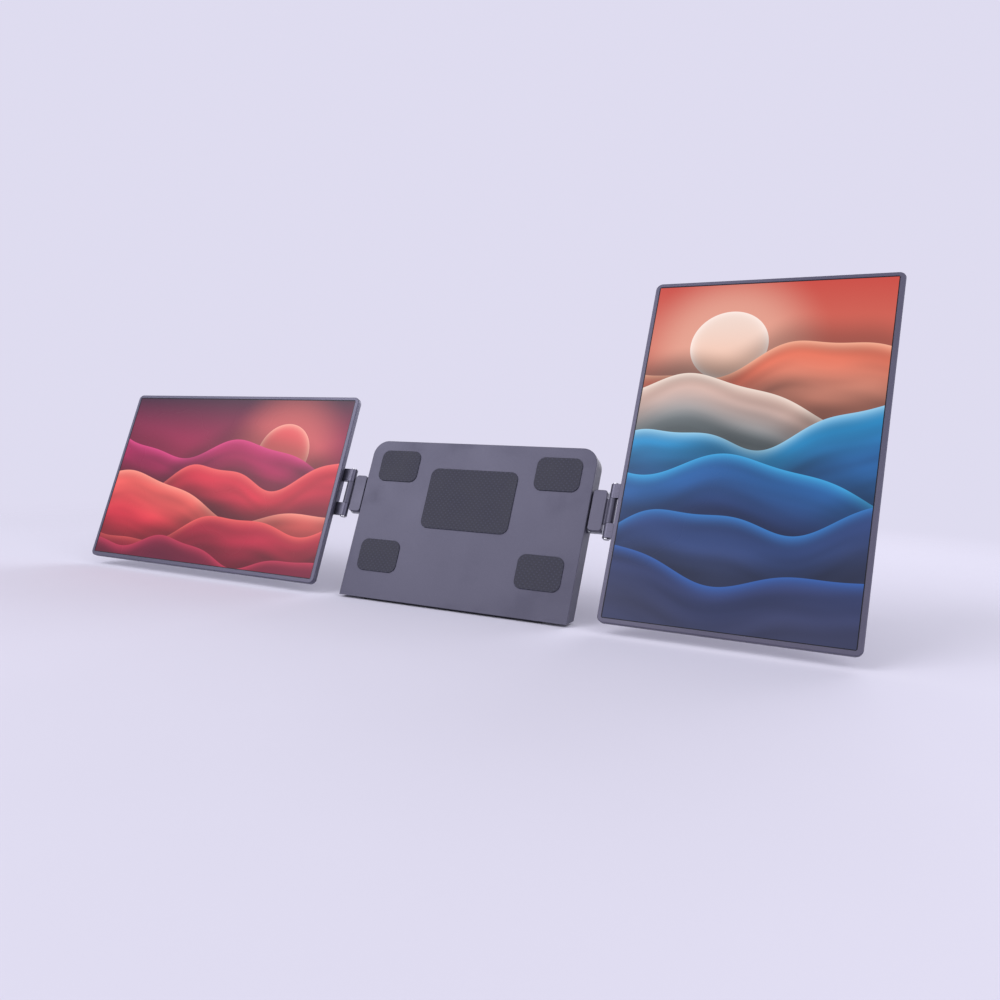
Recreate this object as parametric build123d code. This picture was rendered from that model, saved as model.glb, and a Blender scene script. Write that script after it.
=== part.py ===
"""Laptop screen extender: a stand that holds one monitor on each side of a laptop's lid.

Everything is drawn upright, in millimetres: x to the right, y backwards, z up. The screens'
front faces lie in the plane y = 0 and the desk meets that plane at z = 0. The last step tips
the whole extender back by LEAN and puts the origin in the middle of the base foot's sole.
"""
from build123d import *
import math
import os

# ---- stance ----
LEAN = 23.8                 # how far the screens lean back
SCREEN_LIFT = 12.0          # lower edge of both monitors above the desk, along the screens
MONITOR_SPACING = 306.0     # between the monitors' inner edges with the slides home
SLIDE_TRAVEL = 55.0         # outward travel of each slide

# ---- monitor ----
DISPLAY_W = 323.1           # lit area of a 15.0-inch 16:10 display
DISPLAY_H = 201.9
BLACK_BORDER = 0.7          # unlit edge of the display inside the window
BEZEL_INNER = 4.3           # towards the laptop, or at the bottom in portrait
BEZEL_OUTER = 3.5
BEZEL_TOP = 3.6
BEZEL_CHIN = 4.6
MONITOR_T = 8.0
MONITOR_CORNER_R = 6.0
FRAME_EDGE_R = 0.8          # rounding of the frame's front edge
LIP_EDGE = 0.3              # chamfer around the display window
SEAM_EDGE = 0.25            # chamfers that form the seam between frame and cover
COVER_EDGE_R = 3.0          # rounding of the back cover's rear edge
COVER_WALL = 1.4
COVER_BACK = 1.3
FRAME_T = 1.8
FRAME_LIP = 0.6             # the frame's lip in front of the glass
WINDOW_CORNER_R = 1.5
PANEL_CORNER_R = 3.0        # corner of the display's hidden edge
DISPLAY_BORDER = 1.2        # display edge hidden behind the lip
DISPLAY_PLAY = 0.15
PANEL_T = 1.3
BACKLIGHT_T = 1.3

# ---- monitor electronics ----
BOARD_L = 64.0
BOARD_H = 150.0
BOARD_T = 0.8
BOARD_CORNER_R = 2.0
BOARD_EDGE_GAP = 2.9        # board edge to the cover's outer face
BOARD_REAR_GAP = 0.5        # board to the cover's back wall
PORT_W = 8.94
PORT_T = 3.16
PORT_L = 7.4
PORT_WALL = 0.35
PORT_TONGUE_W = 6.6
PORT_TONGUE_T = 0.7
PORT_TONGUE_L = 4.4
PORT_SETBACK = 0.2
PORT_PLAY = 0.15
PORT_HEIGHTS = (8.0, -12.0)
VIDEO_PORT_W = 11.2
VIDEO_PORT_HEIGHT = -36.0
BUTTON_HEIGHTS = {"power_button": 54.0, "menu_button": 36.0}
BUTTON_W = 9.0
BUTTON_T = 2.2
BUTTON_PROUD = 0.7
BUTTON_EDGE = 0.3
BUTTON_TRAVEL = 0.5
BUTTON_PLAY = 0.15
BUTTON_FLANGE_RIM = 0.9     # flange width around the cap
BUTTON_FLANGE_RIM_Y = 0.3   # the same, in the monitor's thin direction
BUTTON_FLANGE_T = 0.7
BUTTON_REST_GAP = 0.05      # between flange and wall while nobody presses
SWITCH_GAP = 0.1            # left between flange and switch when pressed
SWITCH_L = 3.0
SWITCH_W = 4.5
SWITCH_T = 1.4
SPEAKER_W = 36.0
SPEAKER_H = 14.0
SPEAKER_T = 2.4
SPEAKER_INSET = 40.0        # speaker's middle from the outer edge
SPEAKER_LIFT = 17.0         # speaker's middle from the lower edge
CHIP_T = 1.0
CHIP_SIZES = ((-12.0, 30.0, 14.0), (-30.0, -6.0, 11.0), (8.0, -42.0, 8.0), (10.0, 62.0, 9.0))
VENT_COUNT = 9
VENT_PITCH = 3.6
VENT_W = 1.4
VENT_H = 10.0

# ---- swivel between monitor and arm ----
SWIVEL_GAP = 0.5            # arm to monitor, filled by the friction washer
HUB_NECK_R = 8.0
HUB_FLANGE_R = 20.0
HUB_FLANGE_T = 1.6
HUB_FIT = 0.05
HUB_SCREW_R = 1.0
HUB_SCREW_CIRCLE = 14.0
HUB_SCREW_COUNT = 3
HUB_SCREW_HEAD_R = 2.0
HUB_SCREW_HEAD_T = 0.9
WASHER_R = 13.0
CAP_R = 14.0
CAP_T = 2.8
CAP_WALL = 1.0
CAP_EDGE_R = 0.8
CAP_DISH_R = 10.5
CAP_DISH = 0.4
CAP_GAP = 0.3
STOP_R = 1.6
STOP_CIRCLE = 17.0
STOP_START = -45.0          # angle of the stop post with the monitor in landscape
STOP_SWEEP = 90.0
STOP_PLAY = 0.3
STOP_H = 3.4

# ---- arm and fold hinge ----
ARM_T = 4.0
ARM_END_R = 24.0
ARM_ROOT_H = 52.0
ARM_ROOT_L = 16.0
ARM_EDGE_R = 0.8            # rounding of the arm's rear edge
ARM_WINDOW_W = 34.0
ARM_WINDOW_H = 22.0
HINGE_INSET = 8.0           # fold axis inboard of the monitor's inner edge
KNUCKLE_R = 4.0
HINGE_PIN_R = 1.75
HINGE_FIT = 0.07
FIXED_KNUCKLE_H = 24.0
KNUCKLE_GAP = 0.3
NOTCH_DEPTH = 9.5           # clearance around the fixed knuckle
HINGE_PIN_HEAD_R = 3.0
HINGE_PIN_HEAD_T = 1.0
HINGE_PIN_PLAY = 0.15       # between the arm's knuckle and each head

# ---- slides ----
BAR_H = 40.0
BAR_T = 5.0
BAR_WEB = 2.0
BAR_FLANGE = 2.4
BAR_INNER_END = 10.0        # inner end of each bar from the middle
BAR_END_WALL = 5.0
BLOCK_L = 13.5
BLOCK_T = 5.4
BLOCK_CORNER_R = 3.0
BLOCK_EDGE = 0.5
BLOCK_GAP = 6.0             # fold axis to the block's end face
BAR_FIT = 0.3
RACK_T = 3.0
RACK_SEAT = 0.4             # step that keeps the free end clear of the other bar
RACK_H = 4.6
RACK_OUTER_END = 60.0
RACK_SEAT_END = 12.0
RACK_OUTER_TEETH = 3        # teeth on the pinion's outer side with the slide home
SLIDE_SCREW_R = 1.0
SLIDE_SCREW_HEAD_R = 2.0
SLIDE_SCREW_HEAD_T = 1.1
RACK_SCREW_PLACES = (20.0, 50.0)
BLOCK_SCREW_SPACING = 26.0
BLOCK_SCREW_INSET = 8.0     # from the bar's outer end
SCREW_TIP_GAP = 1.0

# ---- sync gear ----
GEAR_MODULE = 1.25
GEAR_TEETH = 14
PRESSURE_ANGLE = 20.0
GEAR_BACKLASH = 0.3
GEAR_T = 2.8
GEAR_END_GAP = 0.1
ADDENDUM = 0.9              # in modules
DEDENDUM = 1.2              # in modules
AXLE_R = 2.0
AXLE_FIT = 0.05
AXLE_SHOULDER_R = 4.0
AXLE_SEAT = 1.0

# ---- housing ----
HOUSING_SIDE_GAP = 29.0     # from the housing's side to the monitor's inner edge
HOUSING_TOP = 178.0
HOUSING_CORNER_R = 16.0
HOUSING_WALL = 2.0
HOUSING_EDGE_R = 2.0
HOUSING_SEAM = 0.3          # chamfer behind the front plate
PLATE_EDGE = 0.5
PAD_T = 1.0
PAD_GAP = 0.6               # grip pads behind the monitors' backs
PLATE_T = 2.4
PLATE_TO_RACK = 0.5
RUNNER_T = 1.6
RUNNER_H = 5.0
RUNNER_GAP = 0.1
RUNNER_INSET = 6.0
GUIDE_T = 2.0
RECESS_WALL = 2.0           # wall between the slides and the kickstand's recess
BASE_SKIN = 3.0
CORNER_PAD_W = 46.0
CORNER_PAD_H = 34.0
LOW_PAD_HEIGHT = 52.0
HIGH_PAD_DROP = 28.0        # from the housing's top
PAD_CORNER_R = 8.0
PAD_EDGE = 0.4
MIDDLE_PAD_W = 96.0
MIDDLE_PAD_H = 64.0
MAGNET_R = 9.0
MAGNET_T = 1.4
MAGNET_INSET = 36.0         # from the housing's side
MAGNET_FIT = 0.1
COVER_SCREW_R = 1.25
COVER_SCREW_HEAD_R = 2.75
COVER_SCREW_HEAD_T = 1.8
COVER_SCREW_SINK = 0.3
COVER_SCREW_INSET = 12.0    # from the housing's side and top
LOW_SCREW_HEIGHT = 36.0
MIDDLE_SCREW_DROP = 23.5    # from the bars' lower edge
COVER_SCREW_BITE = 1.4
SCREW_FIT = 0.05
SCREW_EDGE = 0.2
SOCKET_SHARE = 0.55         # hexagon socket's corner radius, as a share of the head's
SOCKET_DEPTH_SHARE = 0.6    # socket depth, as a share of the head's height
BOSS_R = 4.2

# ---- feet and kickstand ----
FOOT_T = 2.5
FOOT_INSET = 26.0           # from the housing's side
FOOT_W = 14.0
FOOT_CORNER_R = 4.0
FOOT_EDGE = 0.5
FOOT_GROOVE = 0.8           # width and depth of the tread grooves
FOOT_GROOVE_PITCH = 2.8
FOOT_GROOVES = 4
KICK_HEIGHT = 155.0         # kickstand axis above the desk, along the screens
KICK_OPEN = 40.0            # angle between the open leg and the housing
KICK_W = 96.0
KICK_T = 3.6
KICK_SIDE_GAP = 0.6
KICK_FLOOR_GAP = 0.4        # closed leg to the recess floor
KICK_BARREL_R = 2.1
KICK_PIN_R = 1.2
KICK_PIN_BITE = 4.0
KICK_PIN_PLAY = 0.5         # at each end of the pin
KICK_FIT = 0.05
KICK_TOP_GAP = 1.0
KICK_FOOT_W = 72.0
KICK_WINDOW_W = 56.0
KICK_WINDOW_H = 62.0
KICK_WINDOW_DROP = 62.0     # window's middle below the axis
KICK_CORNER_R = 12.0
KICK_EDGE = 0.5
KICK_GRIP_R = 11.0

# ---- places worked out from the sizes above ----
WINDOW_W = DISPLAY_W + 2 * BLACK_BORDER
WINDOW_H = DISPLAY_H + 2 * BLACK_BORDER
MONITOR_W = WINDOW_W + BEZEL_INNER + BEZEL_OUTER
MONITOR_H = WINDOW_H + BEZEL_TOP + BEZEL_CHIN
SWIVEL_INSET = MONITOR_H / 2            # swivel axis from the inner and the lower edge
SWIVEL_X = MONITOR_SPACING / 2 + SWIVEL_INSET
SWIVEL_Z = SCREEN_LIFT + SWIVEL_INSET
OUTER_EDGE = MONITOR_W - SWIVEL_INSET   # the monitor's outer edge from the swivel axis
FLANGE_BACK = OUTER_EDGE - COVER_WALL - BUTTON_REST_GAP - BUTTON_FLANGE_T   # back of the keys' flanges
MONITOR_MID_U = MONITOR_W / 2 - SWIVEL_INSET
WINDOW_MID_U = MONITOR_MID_U + (BEZEL_INNER - BEZEL_OUTER) / 2
WINDOW_MID_W = (BEZEL_CHIN - BEZEL_TOP) / 2
PANEL_FRONT = FRAME_LIP
PANEL_BACK = PANEL_FRONT + PANEL_T
BACKLIGHT_BACK = PANEL_BACK + BACKLIGHT_T
COVER_INNER = MONITOR_T - COVER_BACK
BOARD_BACK = COVER_INNER - BOARD_REAR_GAP
BOARD_FRONT = BOARD_BACK - BOARD_T
PORT_MID_Y = (BACKLIGHT_BACK + COVER_INNER) / 2

ARM_FRONT = MONITOR_T + SWIVEL_GAP
ARM_BACK = ARM_FRONT + ARM_T
HINGE_X = MONITOR_SPACING / 2 - HINGE_INSET
HINGE_Y = ARM_BACK

PAD_FRONT = MONITOR_T + PAD_GAP
PLATE_FRONT = PAD_FRONT + PAD_T
PLATE_BACK = PLATE_FRONT + PLATE_T
RACK_FRONT = PLATE_BACK + PLATE_TO_RACK
BAR_FRONT = RACK_FRONT + RACK_T + RACK_SEAT
BAR_BACK = BAR_FRONT + BAR_T
BAR_OUTER_END = HINGE_X - BLOCK_GAP
CAVITY_BACK = BAR_BACK + RUNNER_GAP + RUNNER_T
RECESS_FLOOR = CAVITY_BACK + RECESS_WALL
KICK_Y = RECESS_FLOOR + KICK_FLOOR_GAP + KICK_T / 2
HOUSING_BACK = KICK_Y + KICK_T / 2 + KICK_FLOOR_GAP

HOUSING_W = MONITOR_SPACING - 2 * HOUSING_SIDE_GAP
FOOT_L = HOUSING_W - 2 * FOOT_INSET
MAGNET_X = HOUSING_W / 2 - MAGNET_INSET
PAD_HEIGHTS = (LOW_PAD_HEIGHT, HOUSING_TOP - HIGH_PAD_DROP)
COVER_SCREW_X = HOUSING_W / 2 - COVER_SCREW_INSET
MIDDLE_SCREW_HEIGHT = SWIVEL_Z - BAR_H / 2 - MIDDLE_SCREW_DROP
COVER_SCREW_HEIGHTS = (LOW_SCREW_HEIGHT, MIDDLE_SCREW_HEIGHT, HOUSING_TOP - COVER_SCREW_INSET)

PITCH_R = GEAR_MODULE * GEAR_TEETH / 2
LEAN_RAD = math.radians(LEAN)
HOUSING_MID_Y = (PLATE_FRONT + HOUSING_BACK) / 2
SOLE_Y = HOUSING_MID_Y / math.cos(LEAN_RAD) + FOOT_T * math.tan(LEAN_RAD)
FAR = 1000.0                # larger than the extender, for cutting tools
PAST = 1.0                  # how far a cutting tool runs past a face


# ---- helpers ----
def upright(sketch, front, back):
    """A flat sketch, x across and y up, stood upright with depth from front to back."""
    return extrude(Plane.XZ.offset(-front) * sketch, amount=back - front, dir=(0, 1, 0))


def post(x, z, radius, front, back):
    """A round post along y."""
    return upright(Pos(x, z) * Circle(radius), front, back)


def rod_up(x, y, z, radius, height):
    """A round rod along z, centred on its place."""
    return Pos(x, y, z) * Cylinder(radius, height)


def rod_across(y, z, radius, length):
    """A round rod along x, centred on the middle plane."""
    return Pos(0, y, z) * Rot(0, 90, 0) * Cylinder(radius, length)


def block(x_range, y_range, z_range):
    """A box between two planes each way."""
    sizes = [high - low for low, high in (x_range, y_range, z_range)]
    middles = [(high + low) / 2 for low, high in (x_range, y_range, z_range)]
    return Pos(*middles) * Box(*sizes)


def below_desk(height):
    """All space lower than a height above the desk, in the upright frame."""
    return Rot(LEAN, 0, 0) * Pos(0, 0, height - FAR / 2) * Box(FAR, FAR, FAR)


def tip_back(shape):
    """From the upright frame to the part's own frame."""
    return Pos(0, -SOLE_Y, 0) * Rot(-LEAN, 0, 0) * shape


def rear_rim(shape):
    """The edges around a shape's rearmost face."""
    return shape.faces().sort_by(Axis.Y)[-1].edges()


def front_rim(shape):
    """The edges around a shape's foremost face."""
    return shape.faces().sort_by(Axis.Y)[0].edges()


def screw(x, z, seat, tip, shank_r, head_r, head_t):
    """A screw along y, its head with a hexagon socket behind the seat and its tip in front."""
    head = chamfer(rear_rim(post(x, z, head_r, seat, seat + head_t)), SCREW_EDGE)
    socket = Pos(x, z) * RegularPolygon(SOCKET_SHARE * head_r, 6)
    head -= upright(socket, seat + head_t * (1 - SOCKET_DEPTH_SHARE), seat + head_t)
    return post(x, z, shank_r, tip, seat) + head


# ---- monitor: drawn in landscape around its swivel axis, for the right-hand side ----
def monitor_outline(inset=0.0):
    """The monitor's rounded outline, drawn in by inset all round."""
    size = (MONITOR_W - 2 * inset, MONITOR_H - 2 * inset)
    radius = MONITOR_CORNER_R - inset
    return Pos(MONITOR_MID_U, 0) * RectangleRounded(*size, radius)


def window_outline(grow=0.0, corner_r=WINDOW_CORNER_R):
    """The display window's outline, grown all round."""
    size = (WINDOW_W + 2 * grow, WINDOW_H + 2 * grow)
    return Pos(WINDOW_MID_U, WINDOW_MID_W) * RectangleRounded(*size, corner_r)


def edge_hole(height, width, depth_y):
    """A slot with round ends through the monitor's outer edge wall."""
    slot = Plane.YZ * Pos(PORT_MID_Y, height) * SlotOverall(width, depth_y, rotation=90)
    return Pos(OUTER_EDGE - COVER_WALL - PAST, 0, 0) * extrude(slot, amount=COVER_WALL + 2 * PAST)


def front_frame():
    """The slim bezel, with a rebate behind its lip for the display."""
    frame = upright(monitor_outline(), 0, FRAME_T)
    frame = fillet(front_rim(frame), FRAME_EDGE_R)
    frame = chamfer(rear_rim(frame), SEAM_EDGE)
    window = upright(window_outline(), 0, FRAME_T)
    frame -= window
    frame -= loft([Plane.XZ * window_outline(LIP_EDGE), Plane.XZ.offset(-LIP_EDGE) * window_outline()])
    rebate = window_outline(DISPLAY_BORDER + DISPLAY_PLAY, PANEL_CORNER_R + DISPLAY_PLAY)
    return frame - upright(rebate, FRAME_LIP, FRAME_T)


def display_panel():
    return upright(window_outline(DISPLAY_BORDER, PANEL_CORNER_R), PANEL_FRONT, PANEL_BACK)


def backlight_unit():
    return upright(window_outline(DISPLAY_BORDER, PANEL_CORNER_R), PANEL_BACK, BACKLIGHT_BACK)


def speaker_place():
    return OUTER_EDGE - SPEAKER_INSET, -SWIVEL_INSET + SPEAKER_LIFT


def back_cover():
    """The moulded back shell, with its port and button holes, vents and swivel stop."""
    cover = upright(monitor_outline(), FRAME_T, MONITOR_T)
    cover = fillet(rear_rim(cover), COVER_EDGE_R)
    cover = chamfer(front_rim(cover), SEAM_EDGE)
    cover -= upright(monitor_outline(COVER_WALL), FRAME_T, COVER_INNER)
    cover -= post(0, 0, HUB_NECK_R + HUB_FIT, COVER_INNER, MONITOR_T)
    for height in PORT_HEIGHTS:
        cover -= edge_hole(height, PORT_W + 2 * PORT_PLAY, PORT_T + 2 * PORT_PLAY)
    cover -= edge_hole(VIDEO_PORT_HEIGHT, VIDEO_PORT_W + 2 * PORT_PLAY, PORT_T + 2 * PORT_PLAY)
    for height in BUTTON_HEIGHTS.values():
        cover -= edge_hole(height, BUTTON_W + 2 * BUTTON_PLAY, BUTTON_T + 2 * BUTTON_PLAY)
    speaker_u, speaker_w = speaker_place()
    vent = SlotOverall(VENT_H, VENT_W, rotation=90)
    for place in GridLocations(VENT_PITCH, 0, VENT_COUNT, 1):
        slot = Pos(speaker_u, speaker_w) * place * vent
        cover -= upright(slot, COVER_INNER, MONITOR_T)
    angle = math.radians(STOP_START)
    stop_place = (STOP_CIRCLE * math.cos(angle), STOP_CIRCLE * math.sin(angle))
    cover += post(*stop_place, STOP_R, MONITOR_T - COVER_BACK / 2, MONITOR_T + STOP_H)
    return cover


def board_outline():
    """The driver board, notched where the ports sit in it."""
    edge = OUTER_EDGE - BOARD_EDGE_GAP
    outline = Pos(edge - BOARD_L / 2, 0) * RectangleRounded(BOARD_L, BOARD_H, BOARD_CORNER_R)
    port_back = OUTER_EDGE - PORT_SETBACK - PORT_L
    port_widths = [(height, PORT_W) for height in PORT_HEIGHTS] + [(VIDEO_PORT_HEIGHT, VIDEO_PORT_W)]
    for height, width in port_widths:
        notch = Rectangle(PORT_L + BOARD_EDGE_GAP, width + PORT_PLAY)
        outline -= Pos(port_back - PORT_PLAY + (PORT_L + BOARD_EDGE_GAP) / 2, height) * notch
    return outline


def driver_board():
    """The board with its larger chips in front of it."""
    board = upright(board_outline(), BOARD_FRONT, BOARD_BACK)
    middle = OUTER_EDGE - BOARD_EDGE_GAP - BOARD_L / 2
    for along, height, size in CHIP_SIZES:
        chip = Pos(middle + along, height) * Rectangle(size, size)
        board += upright(chip, BOARD_FRONT - CHIP_T, BOARD_FRONT)
    return board


def port(height, width):
    """One socket: a shell with a floor and a contact tongue, its mouth at the outer edge."""
    mouth = OUTER_EDGE - PORT_SETBACK
    outside = Plane.YZ * Pos(PORT_MID_Y, height) * SlotOverall(width, PORT_T, rotation=90)
    inside_size = (width - 2 * PORT_WALL, PORT_T - 2 * PORT_WALL)
    inside = Plane.YZ * Pos(PORT_MID_Y, height) * SlotOverall(*inside_size, rotation=90)
    shell = Pos(mouth - PORT_L, 0, 0) * extrude(outside, amount=PORT_L)
    shell -= Pos(mouth - PORT_L + PORT_WALL, 0, 0) * extrude(inside, amount=PORT_L)
    tongue_w = PORT_TONGUE_W + width - PORT_W
    tongue_x = (mouth - PORT_L, mouth - PORT_L + PORT_WALL + PORT_TONGUE_L)
    tongue_y = (PORT_MID_Y - PORT_TONGUE_T / 2, PORT_MID_Y + PORT_TONGUE_T / 2)
    shell += block(tongue_x, tongue_y, (height - tongue_w / 2, height + tongue_w / 2))
    return shell


def ports():
    sockets = [port(height, PORT_W) for height in PORT_HEIGHTS]
    sockets.append(port(VIDEO_PORT_HEIGHT, VIDEO_PORT_W))
    return Compound(sockets)


def button(height):
    """A pill-shaped key with a flange behind the edge wall."""
    cap = Plane.YZ * Pos(PORT_MID_Y, height) * SlotOverall(BUTTON_W, BUTTON_T, rotation=90)
    key = Pos(FLANGE_BACK, 0, 0) * extrude(cap, amount=OUTER_EDGE + BUTTON_PROUD - FLANGE_BACK)
    key = chamfer(key.faces().sort_by(Axis.X)[-1].edges(), BUTTON_EDGE)
    flange_size = (BUTTON_W + 2 * BUTTON_FLANGE_RIM, BUTTON_T + 2 * BUTTON_FLANGE_RIM_Y)
    flange = Plane.YZ * Pos(PORT_MID_Y, height) * SlotOverall(*flange_size, rotation=90)
    key += Pos(FLANGE_BACK, 0, 0) * extrude(flange, amount=BUTTON_FLANGE_T)
    return key


def switches():
    """The tactile switches on the board, one behind each key."""
    face = FLANGE_BACK - BUTTON_TRAVEL - SWITCH_GAP
    depth = (BOARD_FRONT - SWITCH_T, BOARD_FRONT)
    bodies = []
    for height in BUTTON_HEIGHTS.values():
        width = (height - SWITCH_W / 2, height + SWITCH_W / 2)
        bodies.append(block((face - SWITCH_L, face), depth, width))
    return Compound(bodies)


def speaker():
    """A flat speaker box against the back wall, behind the vents."""
    outline = Pos(*speaker_place()) * SlotOverall(SPEAKER_W, SPEAKER_H)
    return upright(outline, COVER_INNER - SPEAKER_T, COVER_INNER)


def swivel_hub():
    """The flanged hub that carries the monitor on the arm."""
    hub = post(0, 0, HUB_FLANGE_R, COVER_INNER - HUB_FLANGE_T, COVER_INNER)
    hub += post(0, 0, HUB_NECK_R, COVER_INNER, ARM_BACK + CAP_GAP + CAP_T - CAP_WALL)
    for place in PolarLocations(HUB_SCREW_CIRCLE, HUB_SCREW_COUNT):
        hole = place * Circle(HUB_SCREW_R + SCREW_FIT)
        hub -= upright(hole, COVER_INNER - HUB_FLANGE_T, COVER_INNER)
    return hub


def hub_screws():
    """Short screws that hold the hub's flange to the back cover."""
    seat = COVER_INNER - HUB_FLANGE_T
    screws = []
    for place in PolarLocations(HUB_SCREW_CIRCLE, HUB_SCREW_COUNT):
        head = upright(place * Circle(HUB_SCREW_HEAD_R), seat - HUB_SCREW_HEAD_T, seat)
        screws.append(head + upright(place * Circle(HUB_SCREW_R), seat, COVER_INNER))
    return Compound(screws)


def swivel_cap():
    """The round cap that closes the swivel at the arm's back."""
    front = ARM_BACK + CAP_GAP
    cap = post(0, 0, CAP_R, front, front + CAP_T)
    cap = fillet(rear_rim(cap), CAP_EDGE_R)
    cap -= post(0, 0, CAP_DISH_R, front + CAP_T - CAP_DISH, front + CAP_T)
    return cap - post(0, 0, HUB_NECK_R + HUB_FIT, front, front + CAP_T - CAP_WALL)


MONITOR_PIECES = {
    "front_frame": front_frame,
    "display_panel": display_panel,
    "backlight_unit": backlight_unit,
    "back_cover": back_cover,
    "driver_board": driver_board,
    "ports": ports,
    "button_switches": switches,
    "speaker": speaker,
    "swivel_hub": swivel_hub,
    "hub_screws": hub_screws,
    "swivel_cap": swivel_cap,
}


# ---- arm, for the right-hand side ----
def fixed_knuckle_half():
    return FIXED_KNUCKLE_H / 2


def swivel_arm():
    """A plate from the fold hinge to the swivel, with the stop's arc slot."""
    root = Pos(HINGE_X + ARM_ROOT_L / 2, SWIVEL_Z) * Rectangle(ARM_ROOT_L, ARM_ROOT_H)
    end = Pos(SWIVEL_X, SWIVEL_Z) * Circle(ARM_END_R)
    arm = upright(make_hull(root.edges() + end.edges()), ARM_FRONT, ARM_BACK)
    arm = fillet(rear_rim(arm), ARM_EDGE_R)
    arm += rod_up(HINGE_X, HINGE_Y, SWIVEL_Z, KNUCKLE_R, ARM_ROOT_H)
    window_x = HINGE_X + NOTCH_DEPTH + (SWIVEL_X - ARM_END_R - HINGE_X - NOTCH_DEPTH) / 2
    window = Pos(window_x, SWIVEL_Z) * SlotOverall(ARM_WINDOW_W, ARM_WINDOW_H)
    arm -= upright(window, ARM_FRONT, ARM_BACK)
    notch_half = fixed_knuckle_half() + KNUCKLE_GAP
    notch_x = (HINGE_X - 2 * KNUCKLE_R, HINGE_X + NOTCH_DEPTH)
    notch_y = (ARM_FRONT - KNUCKLE_R, ARM_BACK + 2 * KNUCKLE_R)
    arm -= block(notch_x, notch_y, (SWIVEL_Z - notch_half, SWIVEL_Z + notch_half))
    arm -= rod_up(HINGE_X, HINGE_Y, SWIVEL_Z, HINGE_PIN_R + HINGE_FIT, ARM_ROOT_H)
    arm -= post(SWIVEL_X, SWIVEL_Z, HUB_NECK_R + HUB_FIT, ARM_FRONT, ARM_BACK)
    track = CenterArc((0, 0), STOP_CIRCLE, STOP_START, STOP_SWEEP)
    slot = Pos(SWIVEL_X, SWIVEL_Z) * SlotArc(track, 2 * (STOP_R + STOP_PLAY))
    return arm - upright(slot, ARM_FRONT, ARM_BACK)


def swivel_washer():
    """The friction washer between monitor and arm."""
    washer = post(SWIVEL_X, SWIVEL_Z, WASHER_R, MONITOR_T, ARM_FRONT)
    return washer - post(SWIVEL_X, SWIVEL_Z, HUB_NECK_R + HUB_FIT, MONITOR_T, ARM_FRONT)


# ---- slide, for the right-hand side ----
def slide_bar():
    """A channel-shaped bar, open at its back."""
    height_range = (SWIVEL_Z - BAR_H / 2, SWIVEL_Z + BAR_H / 2)
    bar = block((BAR_INNER_END, BAR_OUTER_END), (BAR_FRONT, BAR_BACK), height_range)
    pocket_range = (height_range[0] + BAR_FLANGE, height_range[1] - BAR_FLANGE)
    pocket_x = (BAR_INNER_END - PAST, BAR_OUTER_END - BAR_END_WALL)
    bar -= block(pocket_x, (BAR_FRONT + BAR_WEB, BAR_BACK + PAST), pocket_range)
    for x, z in rack_screw_places() + block_screw_places():
        bar -= post(x, z, SLIDE_SCREW_R + SCREW_FIT, BAR_FRONT, BAR_FRONT + BAR_WEB)
    return bar


def rack_middle():
    """Height of the rack body's middle below the swivel line."""
    return -(PITCH_R + DEDENDUM * GEAR_MODULE + RACK_H / 2)


def rack_screw_places():
    return [(x, SWIVEL_Z + rack_middle()) for x in RACK_SCREW_PLACES]


def block_screw_places():
    x = BAR_OUTER_END - BLOCK_SCREW_INSET
    return [(x, SWIVEL_Z + side * BLOCK_SCREW_SPACING / 2) for side in (-1, 1)]


def slide_screws():
    """Screws through the bar's web, with their heads in its channel."""
    seat = BAR_FRONT + BAR_WEB
    tip = RACK_FRONT + SCREW_TIP_GAP
    sizes = (SLIDE_SCREW_R, SLIDE_SCREW_HEAD_R, SLIDE_SCREW_HEAD_T)
    places = rack_screw_places() + block_screw_places()
    return Compound([screw(x, z, seat, tip, *sizes) for x, z in places])


def hinge_block():
    """The block on the bar's end that carries the fixed knuckle."""
    x_range = (BAR_OUTER_END - BLOCK_L, BAR_OUTER_END)
    outline = Pos(sum(x_range) / 2, SWIVEL_Z) * RectangleRounded(BLOCK_L, BAR_H, BLOCK_CORNER_R)
    body = upright(outline, BAR_FRONT - BLOCK_T, BAR_FRONT)
    body = chamfer(front_rim(body), BLOCK_EDGE)
    z_range = (SWIVEL_Z - fixed_knuckle_half(), SWIVEL_Z + fixed_knuckle_half())
    body += block((BAR_OUTER_END - BLOCK_L / 2, HINGE_X), (HINGE_Y, BAR_FRONT), z_range)
    body += rod_up(HINGE_X, HINGE_Y, SWIVEL_Z, KNUCKLE_R, FIXED_KNUCKLE_H)
    body -= rod_up(HINGE_X, HINGE_Y, SWIVEL_Z, HINGE_PIN_R + HINGE_FIT, FIXED_KNUCKLE_H)
    for x, z in block_screw_places():
        body -= post(x, z, SLIDE_SCREW_R + SCREW_FIT, RACK_FRONT + SCREW_TIP_GAP, BAR_FRONT)
    return body


def hinge_pin():
    """The fold hinge's pin, with a low head at each end."""
    length = ARM_ROOT_H + 2 * HINGE_PIN_PLAY
    pin = rod_up(HINGE_X, HINGE_Y, SWIVEL_Z, HINGE_PIN_R, length)
    for side in (-1, 1):
        head_z = SWIVEL_Z + side * (length + HINGE_PIN_HEAD_T) / 2
        pin += rod_up(HINGE_X, HINGE_Y, head_z, HINGE_PIN_HEAD_R, HINGE_PIN_HEAD_T)
    return pin


# ---- rack and pinion that make the two slides move together ----
def involute(angle):
    """The involute of a pressure angle, in radians."""
    return math.tan(angle) - angle


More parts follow.
